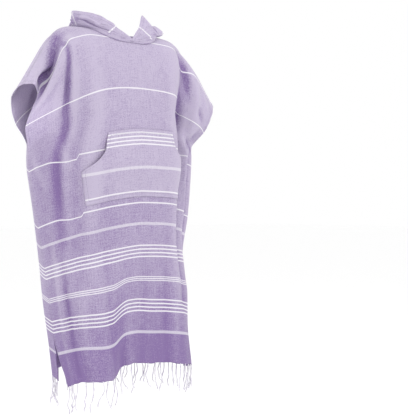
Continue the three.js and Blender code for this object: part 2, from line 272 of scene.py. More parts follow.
FRONT_FOLDS = (
    Fold(-208, 14, -420, 76, 38, -6, -20, -8),
    Fold(-222, 84, -420, 140, 34, 3, 8, 0),
    Fold(-192, 70, -235, 760, 34, -8, -26, -8),
    Fold(-150, 90, -180, 760, 34, 3, 9, 2),
    Fold(232, 80, 256, 850, 38, -30, -76, -14),
    Fold(310, 200, 305, 780, 40, 0, -20, -4),
    Fold(368, 300, 352, 760, 26, -8, -36, -6),
    Fold(-208, 640, -200, 1110, 98, 0, 26, 62),
    Fold(-86, 760, -82, 1110, 44, 0, -6, -18),
    Fold(95, 620, 90, 1110, 85, 0, -14, -22),
)
FRONT_CREASES = (
    Fold(-222, 8, -290, 26, 9, -3, -9, -4),
    Fold(-250, 14, -425, 100, 24, -4, -22, -20),
    Fold(-310, 6, -424, 52, 12, 0, 7, 5),
    Fold(-268, 88, -385, 168, 13, 2, 10, 4),
    Fold(-192, 70, -235, 760, 34, 4, 12, 4),
    Fold(-250, 84, -276, 310, 13, -5, -15, -5),
    Fold(-272, 270, -300, 640, 22, -4, -11, -3),
    Fold(-226, 90, -240, 330, 14, 2, 6, 1),
    Fold(-300, 330, -200, 470, 16, 0, 4, 0),
    Fold(-400, 330, -330, 520, 16, 0, 5, 0),
    Fold(-345, 520, -335, 1000, 18, 0, 6, 3),
    Fold(-316, 640, -285, 1010, 13, 0, -7, -5),
    Fold(-240, 700, -232, 1060, 16, 0, 4, 3),
    Fold(-140, 620, -120, 1060, 14, 0, -3, -3),
    Fold(-60, 760, -40, 1080, 24, 0, 4, 6),
    Fold(30, 640, 20, 1080, 18, 0, -3, -4),
    Fold(180, 560, 170, 1080, 22, 0, 5, 4),
    Fold(120, 600, 128, 1080, 14, 0, -3, -3),
    Fold(150, 100, 160, 420, 22, 2, 4, 0),
    Fold(205, 330, 210, 480, 12, 0, -3, 0),
    Fold(254, 40, 270, 160, 13, -4, -13, -4),
    Fold(290, 60, 300, 220, 16, 0, 6, 0),
    Fold(300, 140, 380, 250, 20, 0, -8, 0),
    Fold(330, 90, 400, 160, 16, 0, 4, 0),
    Fold(246, 180, 330, 600, 12, 4, 15, 4),
    Fold(282, 300, 400, 335, 14, -3, -10, -4),
)
# Painted shade: folds that only darken the cloth's colour in the front's deep valleys, as at the arm's
# groove, without moving the cloth.
FRONT_PAINTED_SHADES = (
    Fold(-250, 24, -400, 104, 36, 8, 13, 10),
    Fold(-250, 84, -272, 320, 16, 7, 9, 5),
    Fold(-280, 300, -304, 640, 30, 4, 5, 2),
    Fold(-335, 200, -325, 640, 80, 1, 2.7, 1.2),
    Fold(-196, 70, -226, 760, 28, -1, -3.4, -1),
    Fold(258, 52, 270, 138, 14, 2, 6, 2),
    Fold(270, 330, 400, 334, 18, 4, 8, 5),
)
FRONT_TUCKS = (
    Tuck(-200, 300, -206, 640, 9, 12),
    Tuck(228, 60, 240, 420, 40, 30, 190),
    Tuck(-80, 700, -100, 1500, 76, 13, 170),
    Tuck(-80, 700, -100, 1500, -76, -9, 170),
)
BACK_FOLDS = (
    Fold(158, 100, 262, 660, 32, -10, -38, -8),
    Fold(188, 60, 222, 300, 24, -4, -14, -4),
    Fold(-184, 60, -198, 480, 30, -8, -34, -6),
    Fold(-150, 800, -130, 1110, 50, 0, -10, -20),
)
BACK_CREASES = (
    Fold(-230, 20, -400, 80, 14, -3, -7, -2),
    Fold(225, 20, 390, 90, 14, -3, -7, -2),
    Fold(190, 90, 282, 520, 14, 2, 8, 0),
    Fold(-220, 150, -200, 560, 26, 0, -7, 0),
    Fold(-270, 260, -240, 700, 20, 0, 5, 0),
    Fold(60, 420, 40, 1080, 30, 0, 5, 4),
    Fold(-44, 700, -56, 1180, 12, 0, 6, 5),
    Fold(-72, 820, -86, 1180, 10, 0, -6, -5),
    Fold(330, 340, 290, 620, 18, 0, -6, 0),
    Fold(100, 120, 60, 300, 20, 0, 3, 0),
    Fold(-90, 120, -70, 330, 20, 0, -3, 0),
)
BACK_TUCKS = (
    Tuck(-38, 560, -48, 1500, 46, -24, 150),
    Tuck(-64, 800, -84, 1500, 12, -22, 150),
    Tuck(190, 150, 230, 520, 26, 12),
)


@dataclass(frozen=True)
class Drape:
    """How a panel hangs: its levels, its folds and its neckline.

    Creases are its finer folds. Its deeps are painted shade: they darken the cloth's colour as if it lay that
    much deeper, without moving it.
    """

    side: Side
    levels: tuple[Level, ...]
    folds: tuple[Fold, ...]
    creases: tuple[Fold, ...]
    tucks: tuple[Tuck, ...]
    neck_drop: float
    painted_shades: tuple[Fold, ...] = ()
    near: float = 20.0
    far: float = 45.0
    shoulder_soft: float = 0.04
    roundness: float = 0.35

    def _column(self, values: list[float], s: np.ndarray, on_edge: bool) -> np.ndarray:
        """A smooth curve through one value of the levels, which keeps a seam's slope where a seam ends."""
        xs = np.array([level.s for level in self.levels], float)
        ys = np.array(values, float)
        slope, step = stop_slopes(xs, ys)
        if on_edge:
            slope[xs == ARMHOLE_DEPTH] = step[int(np.argmax(xs == ARMHOLE_DEPTH))]
            slope[xs == SLIT_START] = step[int(np.argmax(xs == SLIT_START)) - 1]
        i = np.clip(np.searchsorted(xs, s, side="right") - 1, 0, len(xs) - 2)
        h = xs[i + 1] - xs[i]
        inside = hermite((s - xs[i]) / h, h, ys[i], ys[i + 1], slope[i], slope[i + 1])
        below = ys[-1] + (s - xs[-1]) * slope[-1]
        above = ys[0] + (s - xs[0]) * slope[0]
        return np.where(s > xs[-1], below, np.where(s < xs[0], above, inside))

    def _hang(self, u: np.ndarray, s: np.ndarray) -> np.ndarray:
        """The panel's points without folds."""
        right = u < 0
        t = np.abs(u) / HALF

        def sided(pick, on_edge=False):
            return np.where(
                right,
                self._column([pick(level, 0) for level in self.levels], s, on_edge),
                self._column([pick(level, 1) for level in self.levels], s, on_edge),
            )

        edge = [sided(lambda level, k, a=a: (level.right, level.left)[k][a], True) for a in range(3)]
        knee = sided(lambda level, k: level.knee[k])
        bow = sided(lambda level, k: level.bow[k])
        y = self._column([level.y for level in self.levels], s, False)
        z = self._column([level.z for level in self.levels], s, False)

        def ramp(v, start, soft):
            return soft * np.log1p(np.exp((v - start) / soft))

        reach = np.abs(edge[0])
        shoulder = np.where(right, RIGHT_SHOULDER, LEFT_SHOULDER)
        bend = shoulder / HALF
        before = HALF / reach
        after = (1 - shoulder / reach) / (1 - bend)
        over_arm = t * before + (after - before) * ramp(t, bend, self.shoulder_soft)
        low = np.where(
            right,
            0.65 * smooth((s - 230) / 200),
            0.25 * smooth((s - 230) / 200) + 0.4 * smooth((s - 600) / 250),
        )
        body = mix(t, np.sin(np.pi * t / 2), self.roundness + low)
        soft = 0.06 + 0.08 * np.clip(s / 600, 0, 1)
        fall = (ramp(t, knee, soft) - ramp(0, knee, soft)) / (ramp(1, knee, soft) - ramp(0, knee, soft))
        x = edge[0] * mix(over_arm, body, smooth(s / 300))
        return np.stack([x, y + (edge[1] - y) * t**bow, z + (edge[2] - z) * fall], axis=-1)

    def _outward(self, point, u: np.ndarray, s: np.ndarray) -> np.ndarray:
        """The outward normals of a surface given by a function of u and s."""
        e = 2.0
        across = point(u + e, s) - point(u - e, s)
        down = point(u, s + e) - point(u, s - e)
        return unit(np.cross(across, down)) * self.side.value

    def point(self, u: np.ndarray, s: np.ndarray) -> np.ndarray:
        """The panel's points with all folds.

        Args:
            u: places across the cut.
            s: places down the cut.

        Returns:
            Points in millimetres, x y z along the last axis.
        """
        u, s = np.broadcast_arrays(np.asarray(u, float), np.asarray(s, float))
        lift = self._relief(u, s) + self._ripple(u, s) * smooth((HALF - np.abs(u)) / 60) * smooth(s / 60)
        out = self._hang(u, s) + self._outward(self._hang, u, s) * lift[..., None]
        for tuck in self.tucks:
            out[..., 2] -= tuck.fall(u, s)
        return out

    def _relief(self, u: np.ndarray, s: np.ndarray) -> np.ndarray:
        """How far the folds and creases lift the cloth."""
        fade = smooth((HALF - np.abs(u)) / 40) * np.clip(s / 30, 0, 1)
        return sum(f.height(u, s) for f in self.folds + self.creases) * fade

    def painted_shade_depth(self, u: np.ndarray, s: np.ndarray) -> np.ndarray:
        """How much painted shade the cloth gets: how far it lies below its near and far surroundings, as in a
        trough (minus on a ridge), plus its painted shade folds.

        Args:
            u: places across the cut.
            s: places down the cut.

        Returns:
            The depth at each place, in millimetres.
        """
        sides = ((1, 0), (-1, 0), (0, 1), (0, -1))
        ways = [(a * span, b * span) for span in (self.near, self.far) for a, b in sides]
        around = sum(self._relief(u + du, s + ds) for du, ds in ways) / len(ways)
        return around - self._relief(u, s) + sum(deep.height(u, s) for deep in self.painted_shades)

    def _ripple(self, u: np.ndarray, s: np.ndarray) -> np.ndarray:
        """The small unevenness of hanging cloth: long soft ripples, more of them low down."""
        k = 1.0 if self.side is Side.FRONT else 2.3
        low = 0.4 + 0.6 * smooth((s - 300) / 600)
        warp = 18 * np.sin(s / 170 + k) + 9 * np.sin(s / 61 + 2 * k)
        return low * (
            0.9 * np.sin((u + warp) / 17 + k)
            + 0.7 * np.sin((u - 0.7 * warp) / 29 + 3 * k) * np.sin(s / 210 + k)
            + 0.5 * np.sin(s / 37 + u / 90 + k)
        )

    def normal(self, u: np.ndarray, s: np.ndarray) -> np.ndarray:
        """The outward normals of the panel with its folds.

        Args:
            u: places across the cut.
            s: places down the cut.

        Returns:
            Unit vectors along the last axis.
        """
        u, s = np.broadcast_arrays(np.asarray(u, float), np.asarray(s, float))
        return self._outward(self.point, u, s)

    def neck_edge(self, u: np.ndarray) -> np.ndarray:
        """The neck opening's depth below the shoulder seam.

        Args:
            u: places across the cut.

        Returns:
            The depth at each place, 0 outside the opening.
        """
        share = np.minimum(np.abs(u) / NECK_HALF_WIDTH, 1)
        return self.neck_drop * (1 - share**NECK_CURVE)


FRONT = Drape(Side.FRONT, FRONT_LEVELS, FRONT_FOLDS, FRONT_CREASES, FRONT_TUCKS, 95.0, FRONT_PAINTED_SHADES)
BACK = Drape(Side.BACK, BACK_LEVELS, BACK_FOLDS, BACK_CREASES, BACK_TUCKS, 40.0)


class Wire:
    """A shader socket that arithmetic can be written with."""

    def __init__(self, graph: "Graph", socket) -> None:
        """Keeps the socket and the graph it is in."""
        self.graph = graph
        self.socket = socket

    def _math(self, operation: str, *others) -> "Wire":
        """One Math node with this wire as its first input."""
        return self.graph.node("ShaderNodeMath", {0: self, **dict(enumerate(others, 1))}, operation=operation)

    def __add__(self, other) -> "Wire":
        """Sum."""
        return self._math("ADD", other)

    def __sub__(self, other) -> "Wire":
        """Difference."""
        return self._math("SUBTRACT", other)

    def __mul__(self, other) -> "Wire":
        """Product."""
        return self._math("MULTIPLY", other)

    def sine(self) -> "Wire":
        """Sine of the value in radians."""
        return self._math("SINE")

    def size(self) -> "Wire":
        """Value without its sign."""
        return self._math("ABSOLUTE")

    def larger(self, other) -> "Wire":
        """The larger of two values."""
        return self._math("MAXIMUM", other)

    def smaller(self, other) -> "Wire":
        """The smaller of two values."""
        return self._math("MINIMUM", other)

    def ping(self, scale: float) -> "Wire":
        """Triangle wave from 0 to scale and back."""
        return self._math("PINGPONG", scale)

    def step(self, low: float, high: float) -> "Wire":
        """Smooth step from 0 at low to 1 at high; low may be the larger."""
        limits = {"Value": self, "From Min": low, "From Max": high}
        return self.graph.node("ShaderNodeMapRange", limits, interpolation_type="SMOOTHSTEP")


class Graph:
    """A material's nodes."""

    def __init__(self, name: str) -> None:
        """Makes an empty material of that name."""
        self.material = bpy.data.materials.new(name)
        self.material.use_nodes = True
        self.tree = self.material.node_tree
        self.tree.nodes.clear()

    def node(self, kind: str, inputs: dict | None = None, out: int | str = 0, **settings) -> Wire:
        """Adds a node.

        Args:
            kind: the node's type name.
            inputs: values or wires by input name or index.
            out: the output to return.
            **settings: the node's own properties.

        Returns:
            The chosen output.
        """
        node = self.tree.nodes.new(kind)
        for key, value in settings.items():
            setattr(node, key, value)
        for key, value in (inputs or {}).items():
            if isinstance(value, Wire):
                self.tree.links.new(value.socket, node.inputs[key])
            else:
                node.inputs[key].default_value = value
        return Wire(self, node.outputs[out])

    def blend(self, share, a, b) -> Wire:
        """Mixes two colours.

        Args:
            share: 0 gives a, 1 gives b.
            a: the first colour, as a wire or four numbers.
            b: the second colour.

        Returns:
            The mixed colour.
        """
        return self.node("ShaderNodeMix", {0: share, 6: a, 7: b}, out=2, data_type="RGBA")

    def finish(self, shader: Wire) -> bpy.types.Material:
        """Connects the shader to the material's output.

        Args:
            shader: the surface shader.

        Returns:
            The material.
        """
        output = self.tree.nodes.new("ShaderNodeOutputMaterial")
        self.tree.links.new(shader.socket, output.inputs["Surface"])
        return self.material


@dataclass(frozen=True)
class ClothFinish:
    """Heather flat-woven cotton with white weft stripes, with painted shade in its troughs and painted
    highlight on its ridges. Lengths are metres on the cut.
    """

    stripes: Stripes
    light: tuple[float, float, float, float] = (0.63, 0.56, 0.72, 1.0)
    deep: tuple[float, float, float, float] = (0.285, 0.19, 0.425, 1.0)
    pale: tuple[float, float, float, float] = (0.96, 0.94, 0.98, 1.0)
    thread: tuple[float, float, float, float] = (0.3, 0.24, 0.4, 1.0)
    see_through: float = 0.22
    crease_shade_strength: float = 80.0
    crease_shade_limits: tuple[float, float] = (-0.22, 0.75)
    stitch_row: float = 0.0105
    stitch_length: float = 0.0042
    pick: float = 0.0011
    roughness: float = 0.9
    sheen: float = 0.35

    def _bands(self) -> list[tuple[float, int, float, float, float]]:
        """Stripe groups as middle, number of lines, distance apart, width of a line and strength."""
        if self.stripes is Stripes.PANEL:
            return [
                (0.0825, 1, 0, 0.0041, 1.0),
                (0.2475, 1, 0, 0.0041, 1.0),
                (0.4125, 1, 0, 0.0041, 1.0),
                (0.5775, 1, 0, 0.0041, 1.0),
                (0.639, 1, 0, 0.0085, 0.55),
                (0.720, 4, 0.011, 0.0041, 1.0),
                (0.802, 3, 0.0055, 0.0027, 0.95),
                (0.880, 4, 0.011, 0.0041, 1.0),
                (0.958, 1, 0, 0.0085, 0.6),
            ]
        if self.stripes is Stripes.POCKET:
            return [
                (0.0265, 4, 0.011, 0.0041, 1.0),
                (0.110, 1, 0, 0.0085, 0.55),
                (0.179, 1, 0, 0.0041, 1.0),
            ]
        return [(0.056, 1, 0, 0.0041, 1.0), (0.221, 1, 0, 0.0041, 1.0)]

    def _stripe_mask(self, along: Wire) -> Wire:
        """White where a stripe is, along the warp."""
        mask = None
        for middle, count, pitch, width, strength in self._bands():
            off = (along - middle).size()
            if count == 1:
                line = off.step(width / 2 + 0.0006, width / 2 - 0.0006)
            else:
                first = pitch / 2 if count % 2 == 0 else pitch
                near = (off + first).ping(pitch / 2) if count % 2 == 0 else (off + pitch).ping(pitch / 2)
                inside = off.step(count * pitch / 2 + 0.0003, count * pitch / 2 - 0.0003)
                line = near.step(width / 2 + 0.0005, width / 2 - 0.0005) * inside
            line = line * strength
            mask = line if mask is None else mask.larger(line)
        return mask

    def build(self) -> bpy.types.Material:
        """Makes the material.

        Returns:
            The material, which reads the piece's UV as metres on the cut.
        """
        g = Graph(f"cloth_{self.stripes.value}")
        uv = g.node("ShaderNodeTexCoord", out="UV")
        parts = g.tree.nodes.new("ShaderNodeSeparateXYZ")
        g.tree.links.new(uv.socket, parts.inputs[0])
        across, along = Wire(g, parts.outputs[0]), Wire(g, parts.outputs[1])

        def noise(scale_u: float, scale_v: float, detail: float) -> Wire:
            place = g.node("ShaderNodeCombineXYZ", {0: across * scale_u, 1: along * scale_v})
            inputs = {"Vector": place, "Scale": 1.0, "Detail": detail, "Roughness": 0.6}
            return g.node("ShaderNodeTexNoise", inputs)

        slub = noise(60, 900, 2.0)
        warp = noise(700, 45, 2.0)
        fleck = noise(430, 520, 2.0)
        cloud = noise(9, 7, 2.0)
        if self.stripes is Stripes.PANEL:
            depth = along.step(0.15, 0.65) * 0.34 + along.step(0.74, 0.95) * 0.3
            depth = depth + along.step(0.952, 0.966) * 0.26 + 0.1
        else:
            # The hood's ground is a little lighter than the pocket's: painted light on the hood.
            depth = along * 0.0 + (0.1 if self.stripes is Stripes.POCKET else -0.02)
        patch = noise(270, 300, 2.0)
        ends = noise(330, 22, 2.0)
        picks = noise(26, 360, 2.0)
        fine = (slub - 0.5) * 0.5 + (warp - 0.5) * 0.5 + (fleck - 0.5) * 0.7
        coarse = (patch - 0.5) * 1.7 + (ends - 0.5) * 0.8 + (picks - 0.5) * 0.8 + (cloud - 0.5) * 0.3
        heather = fine + coarse
        # Painted shade and highlight: the tone is darkened where the cloth lies deep in a trough and
        # lightened on a ridge.
        painted_shade_depth = g.node("ShaderNodeAttribute", out="Fac", attribute_name="painted_shade_depth")
        trough = (painted_shade_depth * self.crease_shade_strength).larger(self.crease_shade_limits[0]).smaller(self.crease_shade_limits[1])
        tone = (depth + trough - heather).larger(0.0).smaller(1.0)
        ground = g.blend(tone, self.light, self.deep)
        mask = self._stripe_mask(along)
        broken = mask * ((fleck - 0.5) * 0.5 + 0.93).smaller(1.0)
        colour = g.blend(broken, ground, self.pale)
        rim = g.node("ShaderNodeAttribute", out="Fac", attribute_name="rim")
        from_row = (rim - self.stitch_row).size()
        dash = ((across + along) * (2 * math.pi / self.stitch_length)).sine().step(-0.5, 0.1)
        stitch = from_row.step(0.0009, 0.0003) * dash
        groove = from_row.step(0.0028, 0.0)
        colour = g.blend(stitch * 0.75, colour, self.thread)
        turn = 2 * math.pi / self.pick
        weave = (across * turn).sine() * (along * turn * 0.9).sine()
        height = weave * 0.5 + (slub - 0.5) * 0.9 + (fleck - 0.5) * 0.8 + mask * 0.5 - groove * 2.0
        bump = g.node("ShaderNodeBump", {"Height": height, "Strength": 0.4, "Distance": 0.0005})
        shader = g.node(
            "ShaderNodeBsdfPrincipled",
            {
                "Base Color": colour,
                "Roughness": self.roughness,
                "Normal": bump,
                "Sheen Weight": self.sheen,
                "Sheen Roughness": 0.45,
                "Specular IOR Level": 0.15,
            },
        )
        through_cloth = g.node("ShaderNodeBsdfTranslucent", {"Color": colour, "Normal": bump})
        return g.finish(g.node("ShaderNodeMixShader", {0: self.see_through, 1: shader, 2: through_cloth}))


@dataclass(frozen=True)
class YarnFinish:
    """Plied cotton yarn, its tone varied in the piece's own space."""

    name: str
    light: tuple[float, float, float, float] = (0.86, 0.84, 0.89, 1.0)
    dark: tuple[float, float, float, float] = (0.56, 0.5, 0.66, 1.0)

    def build(self) -> bpy.types.Material:
        """Makes the material.

        Returns:
            The material.
        """
        g = Graph(self.name)
        place = g.node("ShaderNodeTexCoord", out="Object")
        patch = g.node("ShaderNodeTexNoise", {"Vector": place, "Scale": 55.0, "Detail": 2.0})
        fibre = g.node("ShaderNodeTexNoise", {"Vector": place, "Scale": 2600.0, "Detail": 2.0})
        tone = ((patch - 0.46) * 3.2 + (fibre - 0.5) * 0.5).larger(0.0).smaller(1.0)
        colour = g.blend(tone, self.light, self.dark)
        bump = g.node("ShaderNodeBump", {"Height": fibre, "Strength": 0.5, "Distance": 0.0004})
        shader = g.node(
            "ShaderNodeBsdfPrincipled",
            {
                "Base Color": colour,
                "Roughness": 0.92,
                "Normal": bump,
                "Sheen Weight": 0.3,
                "Specular IOR Level": 0.15,
            },
        )
        return g.finish(shader)


@dataclass(frozen=True)
class PaperFinish:
    """The studio's plain pale paper."""

    colour: tuple[float, float, float, float] = (0.99, 0.99, 0.99, 1.0)

    def build(self) -> bpy.types.Material:
        """Makes the material.

        Returns:
            The material.
        """
        g = Graph("studio_paper")
        place = g.node("ShaderNodeTexCoord", out="Object")
        grain = g.node("ShaderNodeTexNoise", {"Vector": place, "Scale": 3.0, "Detail": 2.0})
        colour = g.blend(grain * 0.04, self.colour, (0.95, 0.95, 0.95, 1.0))
        return g.finish(g.node("ShaderNodeBsdfPrincipled", {"Base Color": colour, "Roughness": 0.95}))


def finished(bm: bmesh.types.BMesh, name: str) -> bpy.types.Object:
    """Turns a mesh that is done into an object of the scene.

    Args:
        bm: the mesh, which is freed.
        name: the object's name.

    Returns:
        The object.
    """
    mesh = bpy.data.meshes.new(name)
    bm.to_mesh(mesh)
    bm.free()
    piece = bpy.data.objects.new(name, mesh)
    bpy.context.scene.collection.objects.link(piece)
    return piece


def grid_mesh(
    name: str, points: np.ndarray, cut: np.ndarray, rim: np.ndarray, painted_shade_depth: np.ndarray
) -> bpy.types.Object:
    """Makes a sheet from a grid of points.

    Args:
        name: the object's name.
        points: rows by columns by 3, in millimetres.
        cut: rows by columns by 2, the same points' places on the flat cut, in metres.
        rim: rows by columns, each point's distance from the nearest stitched edge, in millimetres.
        painted_shade_depth: rows by columns, how deep in a trough each point lies, in millimetres, which the
            material paints as shade.

    Returns:
        The object, with the places on the cut as its UV and the last two, in metres, as its attributes.
    """
    rows, columns = points.shape[:2]
    bm = bmesh.new()
    bmesh.ops.create_grid(bm, x_segments=columns - 1, y_segments=rows - 1, size=1.0)
    bm.verts.ensure_lookup_table()
    flat = points.reshape(-1, 3) * MM
    places = cut.reshape(-1, 2)
    uv = bm.loops.layers.uv.new("cut")
    layers = [bm.verts.layers.float.new(layer) for layer in ("rim", "painted_shade_depth")]
    for vert, co, *values in zip(bm.verts, flat, rim.reshape(-1) * MM, painted_shade_depth.reshape(-1) * MM):
        vert.co = co
        for layer, value in zip(layers, values):
            vert[layer] = value
    for face in bm.faces:
        face.smooth = True
        for loop in face.loops:
            loop[uv].uv = places[loop.vert.index]
    return finished(bm, name)


def thicken(piece: bpy.types.Object, thickness: float) -> None:
    """Gives a sheet its thickness, half to each side.

    Args:
        piece: the sheet.
        thickness: in metres.
    """
    solid = piece.modifiers.new("thickness", "SOLIDIFY")
    solid.thickness = thickness
    solid.offset = 0.0
    solid.use_even_offset = False
    solid.use_rim = True


@dataclass
class PanelCloth:
    """The front or back panel, with turned hems at its armholes and slits."""

    name: str
    drape: Drape
    node: str
    columns: int = 190
    rows: int = 224
    thickness: float = 0.0015
    hem: float = 12.0
    hem_lift: float = 0.9
    seam_gap: float = 0.6
    hem_waves: tuple[tuple[float, float], ...] = ((1.3, 23.0), (0.9, 8.7))

    def build(self, material: bpy.types.Material) -> bpy.types.Object:
        """Builds the panel.

        Args:
            material: the cloth's material.

        Returns:
            The finished piece.
        """
        edge = HALF - self.seam_gap / 2
        u = np.linspace(-edge, edge, self.columns)
        level = np.linspace(self.seam_gap / 2, PANEL_LENGTH, self.rows)
        uu, ll = np.meshgrid(u, level)
        (coarse, long), (fine, short) = self.hem_waves
        ragged = coarse * np.sin(uu / long + self.drape.side.value) + fine * np.sin(uu / short)
        ss = ll + self.drape.neck_edge(uu) * (1 - ll / PANEL_LENGTH) ** 4
        ss = ss + ragged * smooth((ll - PANEL_LENGTH + 50) / 50)
        points = self.drape.point(uu, ss)
        open_edge = (1 - smooth((ss - ARMHOLE_DEPTH) / 12)) + smooth((ss - SLIT_START) / 12)
        turned = smooth((self.hem - (HALF - np.abs(uu))) / 1.5) * np.minimum(open_edge, 1)
        ease = 0.5 * turned * np.sin(ss / 9.0 + uu / 30)
        points = points + self.drape.normal(uu, ss) * (self.hem_lift * turned + ease)[..., None]
        sewn = 60 * smooth((ss - ARMHOLE_DEPTH + 6) / 6) * smooth((SLIT_START + 6 - ss) / 6)
        cut = np.stack([uu, ss], axis=-1) * MM
        piece = grid_mesh(self.name, points, cut, HALF - np.abs(uu) + sewn, self.drape.painted_shade_depth(uu, ss))
        thicken(piece, self.thickness)
        piece.data.materials.append(material)
        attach(piece, "root")
        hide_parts(self.node)
        LOG.info("%s: %d by %d places of the cut", self.name, self.columns, self.rows)
        return piece


@dataclass
class PocketCloth:
    """The patch pocket, with scooped hand openings."""

    centre: float = 14.0
    top: float = 365.0
    height: float = 195.0
    top_half: float = 125.0
    straight: float = 44.0
    scoop_end: float = 100.0
    scoop_start_half: float = 131.0
    side_half: float = 208.0
    bottom_half: float = 206.0
    stand_off: float = 2.0
    bulge: float = 15.0
    columns: int = 110
    rows: int = 56
    thickness: float = 0.0015

    def half_width(self, d: np.ndarray) -> np.ndarray:
        """Half the pocket's width.

        Args:
            d: distance below the pocket's top, in millimetres.

        Returns:
            The half width at each distance.
        """
        upper = mix(self.top_half, self.scoop_start_half, d / self.straight)
        t = np.clip((d - self.straight) / (self.scoop_end - self.straight), 0, 1)
        scoop = mix(self.scoop_start_half, self.side_half, t**1.5)
        lower = mix(self.side_half, self.bottom_half, np.clip((d - self.scoop_end) / 95, 0, 1))
        return np.where(d < self.straight, upper, np.where(d < self.scoop_end, scoop, lower))

    def build(self, material: bpy.types.Material) -> bpy.types.Object:
        """Builds the pocket.

        Args:
            material: the cloth's material.

        Returns:
            The finished piece.
        """
        d = np.linspace(0, self.height, self.rows)
        w = np.linspace(-1, 1, self.columns)
        ww, dd = np.meshgrid(w, d)
        across = ww * self.half_width(dd)
        uu = across + self.centre
        ss = dd + self.top
        down = dd / self.height
        outer = np.clip(np.abs(across) / self.side_half, 0, 1)
        slack = self.bulge * np.sin(np.pi * down) ** 2 * (1 - outer**4)
        border = np.minimum(np.minimum(dd, self.height - dd), (1 - np.abs(ww)) * self.half_width(dd))
        turned = smooth((13 - border) / 2)
        lift = self.stand_off + slack + turned * 0.5
        points = FRONT.point(uu, ss) + FRONT.normal(uu, ss) * lift[..., None]
        cut = np.stack([across, dd], axis=-1) * MM
        piece = grid_mesh("pocket_cloth", points, cut, border, FRONT.painted_shade_depth(uu, ss))
        thicken(piece, self.thickness)
        piece.data.materials.append(material)
        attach(piece, "root")
        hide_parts("pocket")
        flat = (2 * self.side_half * MM, self.height * MM)
        LOG.info("pocket_cloth: %d by %d places", self.columns, self.rows)
        return piece


@dataclass(frozen=True)
class HoodLine:
    """One line of hood cloth from the neck seam up to the face edge, in millimetres.

    share is its place round the neck from the notch to the nape. X is outward from the centre on each half.
    """

    share: float
    crest: tuple[float, float, float]
    low: tuple[float, float, float]
    edge: tuple[float, float, float]


RIGHT_LINES = (
    HoodLine(0.0, (0, -84, -16), (0, -84, -13), (0, -83, -10)),
    HoodLine(0.16, (56, -78, 4), (53, -73, 15), (50, -66, 26)),
    HoodLine(0.3, (106, -60, 14), (101, -64, 30), (92, -66, 45)),
    HoodLine(0.42, (136, -34, 26), (132, -40, 42), (124, -38, 57)),
    HoodLine(0.54, (146, -6, 30), (150, -4, 46), (154, -2, 64)),
    HoodLine(0.72, (134, 32, 34), (130, 46, 40), (118, 58, 52)),
    HoodLine(0.8, (108, 54, 32), (122, 92, -14), (98, 88, 42)),
    HoodLine(0.88, (74, 64, 30), (92, 140, -98), (66, 124, 26)),
    HoodLine(0.95, (32, 64, 28), (46, 160, -160), (36, 144, 12)),
    HoodLine(1.0, (0, 64, 28), (0, 164, -176), (0, 152, 6)),
)
LEFT_LINES = (
    HoodLine(0.0, (0, -84, -16), (0, -84, -13), (0, -83, -10)),
    HoodLine(0.16, (54, -78, 4), (47, -72, 20), (38, -65, 32)),
    HoodLine(0.29, (101, -63, 15), (85, -60, 44), (65, -46, 72)),
    HoodLine(0.38, (126, -44, 20), (112, -40, 34), (100, -26, 46)),
    HoodLine(0.48, (152, -20, 26), (150, -8, 44), (150, 2, 57)),
    HoodLine(0.58, (160, -6, 26), (174, 2, 32), (184, 10, 41)),
    HoodLine(0.72, (142, 34, 24), (150, 50, 22), (142, 60, 40)),
    HoodLine(0.8, (112, 56, 21), (128, 96, -22), (112, 94, 22)),
    HoodLine(0.88, (74, 64, 21), (94, 142, -98), (74, 130, 16)),
    HoodLine(0.95, (32, 64, 28), (46, 160, -160), (38, 146, 12)),
    HoodLine(1.0, (0, 64, 28), (0, 164, -176), (0, 152, 6)),
)


HOOD_CUT_LOW = ((0, 0), (0.24, 56), (0.53, 221), (0.62, 240), (0.8, 130), (1, 50))
HOOD_CUT_HIGH = ((0, 0), (0.16, 56), (0.56, 221), (1, 340))


def neck_seam(share: np.ndarray, sign: int) -> np.ndarray:
    """The neck seam from the notch at the front (0) to the nape (1).

    Args:
        share: how far round.
        sign: -1 for the wearer's right, 1 for the left.

    Returns:
        Points in millimetres.
    """
    front = share <= NECK_FRONT_SHARE
    turn = np.where(front, share / NECK_FRONT_SHARE, (1 - share) / (1 - NECK_FRONT_SHARE))
    u = sign * NECK_HALF_WIDTH * np.sin(np.pi / 2 * np.clip(turn, 0, 1)) ** 0.9
    at = {}
    for drape in (FRONT, BACK):
        at[drape.side] = drape.point(u, np.maximum(drape.neck_edge(u), 0.3))
    return np.where(front[..., None], at[Side.FRONT], at[Side.BACK])


def through(stops: list[np.ndarray], v: np.ndarray) -> np.ndarray:
    """A smooth curve through stops, with bends that follow the stops' distances.

    Args:
        stops: points, each an array with x y z along its last axis.
        v: the place along the curve from 0 to 1, of the stops' shape without x y z.

    Returns:
        The curve's points.
    """
    last = len(stops) - 1
    place = np.clip(v, 0, 1) * last
    which = np.minimum(place.astype(int), last - 1)
    w = (place - which)[..., None]
    out = np.zeros_like(stops[0])
    for i in range(last):
        p1, p2 = stops[i], stops[i + 1]
        p0 = stops[i - 1] if i else 2 * p1 - p2
        p3 = stops[i + 2] if i < last - 1 else 2 * p2 - p1
        pairs = ((p0, p1), (p1, p2), (p2, p3))
        gaps = [np.sqrt(np.linalg.norm(b - a, axis=-1, keepdims=True)) for a, b in pairs]
        g1 = np.maximum(gaps[1], 1e-3)
        g0 = np.where(gaps[0] < 1e-3, g1, gaps[0])
        g2 = np.where(gaps[2] < 1e-3, g1, gaps[2])
        t1 = ((p1 - p0) / g0 - (p2 - p0) / (g0 + g1) + (p2 - p1) / g1) * g1
        t2 = ((p2 - p1) / g1 - (p3 - p1) / (g1 + g2) + (p3 - p2) / g2) * g1
        curve = p1 + t1 * w + (-3 * p1 + 3 * p2 - 2 * t1 - t2) * w**2 + (2 * p1 - 2 * p2 + t1 + t2) * w**3
        out = np.where((which == i)[..., None], curve, out)
    return out


